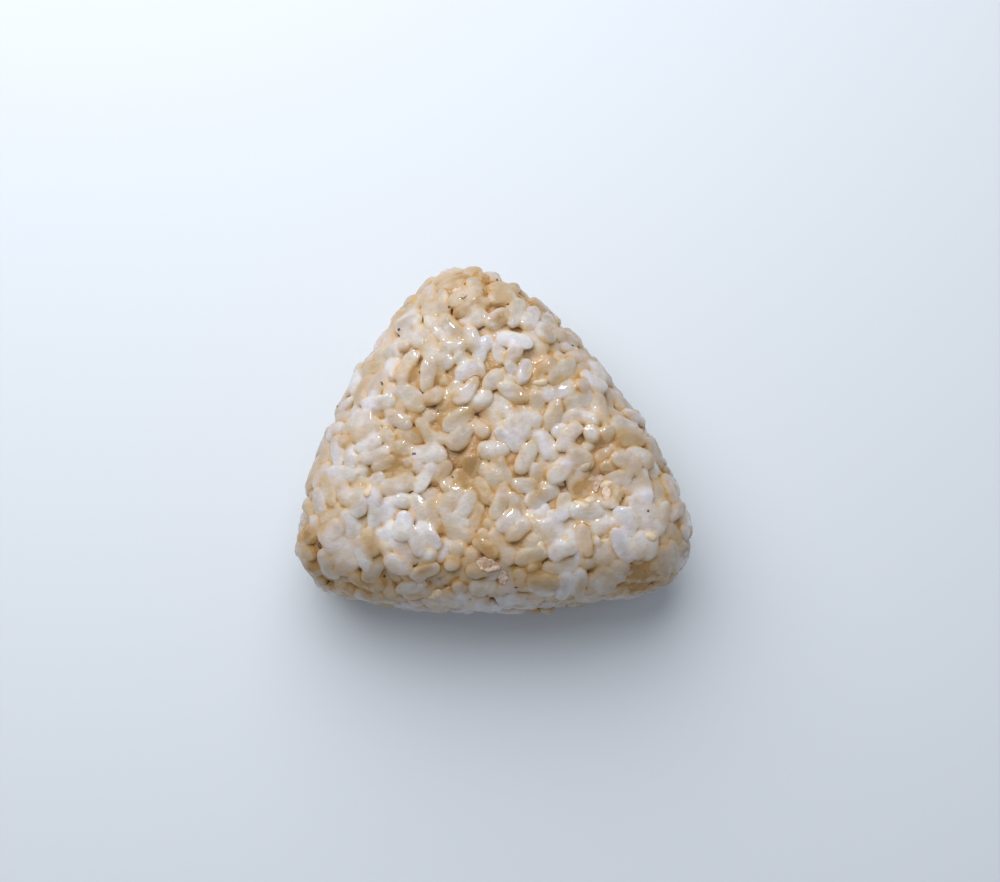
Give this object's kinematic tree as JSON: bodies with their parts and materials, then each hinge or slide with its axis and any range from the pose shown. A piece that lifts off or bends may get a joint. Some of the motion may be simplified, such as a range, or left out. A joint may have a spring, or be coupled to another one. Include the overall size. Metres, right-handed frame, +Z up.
{
  "type": "triangular rice ball",
  "caption": "Hand-pressed triangular rice ball of seasoned short-grain rice with sesame seeds and small seasoning flakes, lying on one flat face.",
  "frame": {"origin": "on the resting face, under the middle of the bounding box", "axes": "+X along the base edge, +Y from the base to the apex, +Z up through the thickness"},
  "size_m": [0.07, 0.0624, 0.0274],
  "materials": {
    "seasoned_rice": "satin",
    "plain_rice": "satin",
    "sesame_seed": "satin",
    "seasoning_flake": "satin"
  },
  "bodies": {
    "root": {"rice_ball": "seasoned_rice"}
  },
  "joints": []
}
